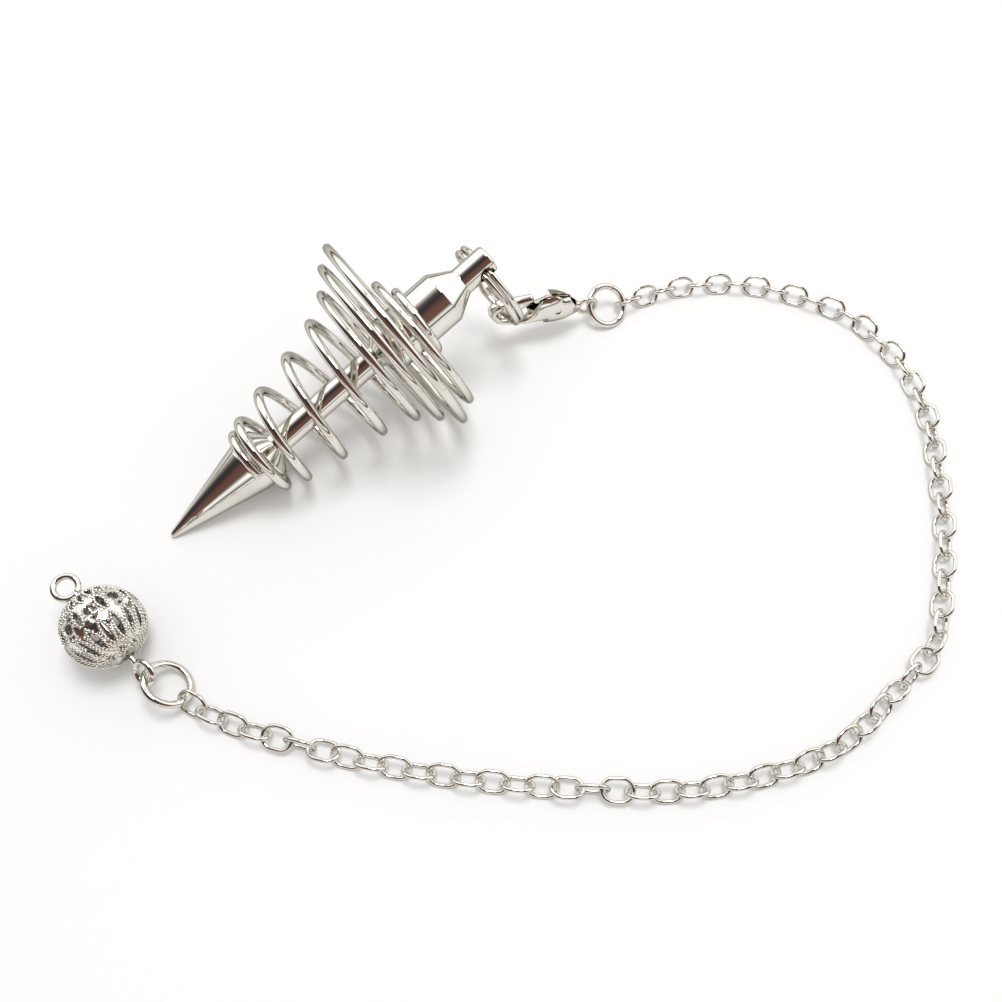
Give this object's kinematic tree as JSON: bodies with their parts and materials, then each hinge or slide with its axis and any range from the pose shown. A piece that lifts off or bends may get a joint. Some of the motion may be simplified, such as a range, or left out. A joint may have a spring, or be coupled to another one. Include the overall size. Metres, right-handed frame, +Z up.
{
  "type": "pendulum pendant",
  "caption": "Silver-coloured dowsing pendulum lying on its side, a turned point in a flaring wire coil, with a lobster clasp and a cable chain that ends in a pierced ball.",
  "frame": {"origin": "on the surface that the pendulum lies on, below the middle of its bounding box", "axes": "+X along the longest extent, to the right in the picture; +Y away from the viewer; +Z up from the surface, the shortest extent"},
  "size_m": [0.0874, 0.0592, 0.0209],
  "materials": {
    "silver": "polished silver-coloured plate",
    "lever_silver": "polished silver-coloured plate"
  },
  "bodies": {
    "root": {"bob": "silver", "coil": "silver", "split_ring": "silver", "clasp_body": "silver", "clasp_rivet": "silver", "jump_ring_clasp": "silver", "chain": "silver", "jump_ring_ball": "silver", "eye_pin": "silver"},
    "lever": {"clasp_lever": "lever_silver"},
    "ball": {"ball": "silver"}
  },
  "joints": [
    {"name": "lever_hinge", "type": "hinge", "parent": "root", "child": "lever", "pos_m": [0.0035, 0.02308, 0.00424], "axis": [0.3173, -0.9483, 0], "range_deg": [0, 22], "stiffness_Nm_per_rad": 0.0005, "springref_deg": -28.65},
    {"name": "ball_spin", "type": "hinge", "parent": "root", "child": "ball", "pos_m": [-0.03852, -0.01442, 0.00375], "axis": [0.6917, -0.6917, -0.2079], "continuous": true}
  ]
}
